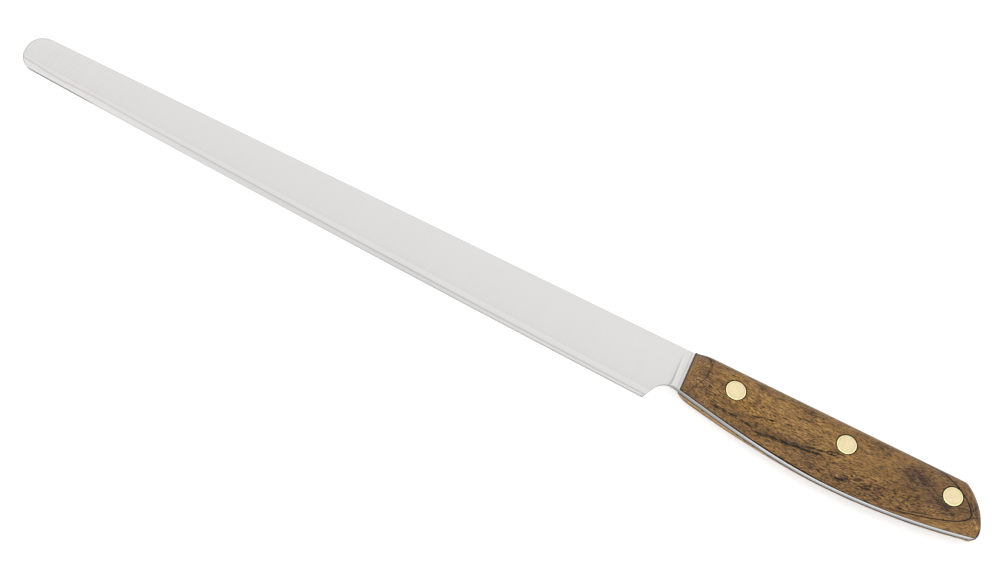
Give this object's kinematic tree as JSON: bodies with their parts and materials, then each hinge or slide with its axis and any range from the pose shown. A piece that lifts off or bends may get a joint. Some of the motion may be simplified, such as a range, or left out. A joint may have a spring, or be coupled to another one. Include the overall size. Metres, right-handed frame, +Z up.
{
  "type": "ham slicing knife",
  "caption": "Long narrow slicing knife with a rounded tip, a full tang and riveted wooden scales, for cutting thin slices of cured ham.",
  "frame": {"origin": "on the ground under the middle of the knife's box, with the knife lying on its back scale", "axes": "+X from the tip to the butt, +Y from the cutting edge to the spine, +Z up through the thickness, out of the front scale"},
  "size_m": [0.379, 0.0254, 0.015],
  "materials": {
    "ground_steel": "stainless steel, finely ground across the blade",
    "hardwood": "oiled brown hardwood with dark streaks",
    "brass": "turned brass, finely brushed, with a bright rim"
  },
  "bodies": {
    "root": {"blade_and_tang": "ground_steel", "front_scale": "hardwood", "back_scale": "hardwood", "rivet_post_front": "brass", "rivet_post_middle": "brass", "rivet_post_rear": "brass", "rivet_sleeve_front": "brass", "rivet_sleeve_middle": "brass", "rivet_sleeve_rear": "brass"}
  },
  "joints": []
}
